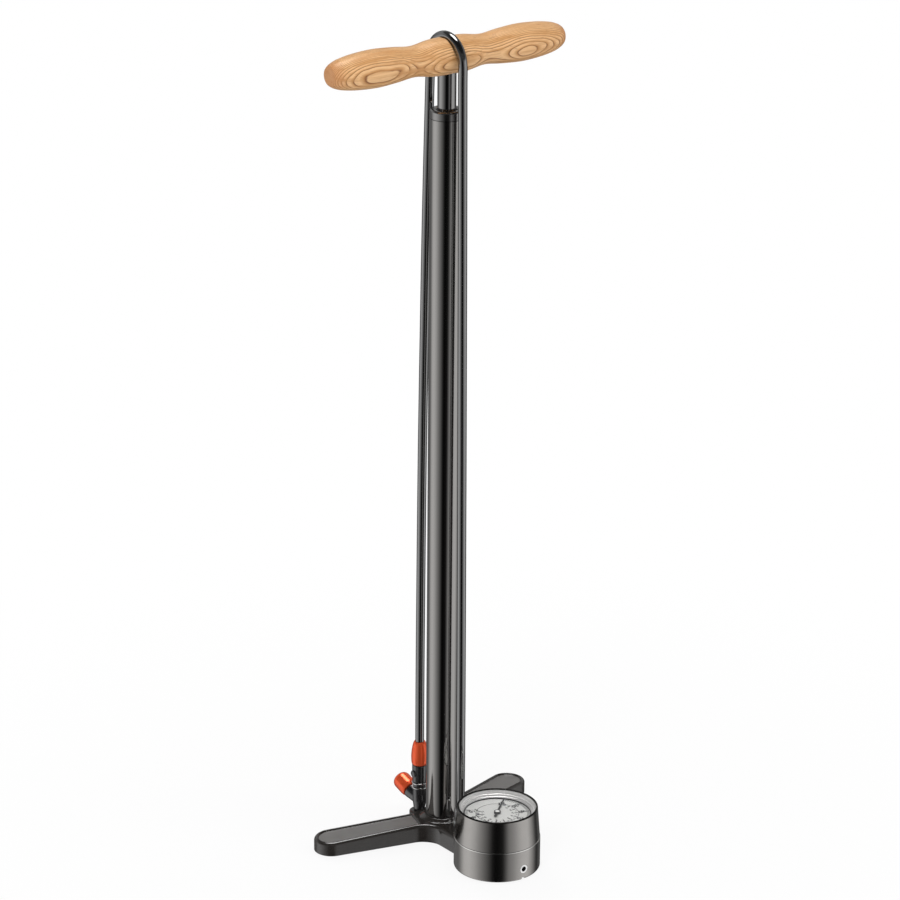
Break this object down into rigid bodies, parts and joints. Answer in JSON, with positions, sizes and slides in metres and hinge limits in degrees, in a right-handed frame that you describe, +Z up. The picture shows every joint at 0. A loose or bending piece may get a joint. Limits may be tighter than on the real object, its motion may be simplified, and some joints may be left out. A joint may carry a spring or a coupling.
{
  "type": "floor bike pump",
  "caption": "Tall floor pump for bicycle tyres: slim barrel, turned wooden handle, cast foot with swept legs, round pressure gauge in front, hose stowed over the handle, docked chuck.",
  "frame": {"origin": "on the floor, under the middle of the box of the pump without its hose and chuck", "axes": "+Z up along the barrel, -Y towards the gauge in front, +X along the handle"},
  "size_m": [0.241, 0.183, 0.734],
  "materials": {
    "cast_black": "glossy black paint over cast metal",
    "rubber_black": "matt black rubber",
    "barrel_black": "glossy black paint",
    "cap_black": "black anodised",
    "guide_white": "natural acetal",
    "valve_brass": "turned brass",
    "spring_steel": "bright wire",
    "rod_dark": "dark polished plating",
    "bolt_steel": "zinc plated",
    "handle_wood": "varnished ash",
    "gauge_shell": "dark grey anodised, satin",
    "gauge_steel": "plated sheet",
    "movement_brass": "stamped brass",
    "dial_pale": "pale enamel with dark print",
    "pointer_dark": "black paint",
    "bezel_silver": "turned, bright",
    "lens_clear": "clear",
    "hose_black": "semi-gloss black rubber",
    "chuck_black": "black anodised",
    "chuck_red": "orange-red anodised, glossy",
    "ring_bright": "bright rings"
  },
  "bodies": {
    "base": {"base_casting": "cast_black", "rubber_feet": "rubber_black", "barrel_gasket": "rubber_black", "barrel": "barrel_black", "barrel_cap": "cap_black", "rod_bushing": "guide_white", "rod_wiper": "rubber_black", "check_valve_body": "valve_brass", "check_valve_seal": "rubber_black", "check_valve_spring": "spring_steel", "gauge_foot": "gauge_shell", "gauge_shroud": "gauge_shell", "gauge_set_screw": "bolt_steel", "gauge_case": "gauge_steel", "gauge_socket": "movement_brass", "bourdon_tube": "movement_brass", "movement_plates": "movement_brass", "movement_pillars": "movement_brass", "gauge_dial": "dial_pale", "dial_screws": "spring_steel", "pointer_stop": "pointer_dark", "gauge_bezel": "bezel_silver", "gauge_lens": "lens_clear", "lens_ring": "bezel_silver", "hose_fitting": "bolt_steel", "hose": "hose_black", "chuck_hose_nut": "chuck_red", "chuck_body": "chuck_black", "chuck_rings": "ring_bright", "side_head_gasket": "rubber_black", "side_head_pin": "spring_steel"},
    "plunger": {"piston": "guide_white", "piston_seal": "rubber_black", "piston_bolt": "bolt_steel", "piston_rod": "rod_dark", "rod_plug": "bolt_steel", "top_bumper": "rubber_black", "handle_grip": "handle_wood", "handle_bolt": "bolt_steel"},
    "valve": {"check_valve_poppet": "rubber_black"},
    "sector": {"sector_gear": "movement_brass", "sector_link": "spring_steel"},
    "pointer": {"pinion_arbor": "spring_steel", "gauge_pointer": "pointer_dark"},
    "side_cap": {"side_head_cap": "chuck_red"},
    "bleed": {"bleed_button": "chuck_black"}
  },
  "joints": [
    {"name": "pump_stroke", "type": "slide", "parent": "base", "child": "plunger", "axis": [0, 0, 1], "range_m": [0, 0.589], "deforming": ["hose"]},
    {"name": "valve_lift", "type": "slide", "parent": "base", "child": "valve", "axis": [0, 0, -1], "range_m": [0, 0.002], "stiffness_N_per_m": 100, "springref_m": -0.002, "deforming": ["check_valve_spring"]},
    {"name": "sector_swing", "type": "hinge", "parent": "base", "child": "sector", "pos_m": [0, -0.05795, 0.0321], "axis": [0, 0, 1], "range_deg": [0, 45], "stiffness_Nm_per_rad": 0.002, "springref_deg": -2.86},
    {"name": "pointer_turn", "type": "hinge", "parent": "base", "child": "pointer", "pos_m": [0, -0.04395, 0.0321], "axis": [0, 0, -1], "range_deg": [0, 270]},
    {"name": "side_cap_turn", "type": "hinge", "parent": "base", "child": "side_cap", "pos_m": [0, 0.09174, 0.02731], "axis": [0, 0.9455, 0.3256], "range_deg": [0, 360]},
    {"name": "bleed_press", "type": "slide", "parent": "base", "child": "bleed", "axis": [1, 0, 0], "range_m": [0, 0.001], "stiffness_N_per_m": 200, "springref_m": -0.002}
  ],
  "couplings": [
    {"joint": "pointer_turn", "follows": "sector_swing", "ratio": 6}
  ]
}
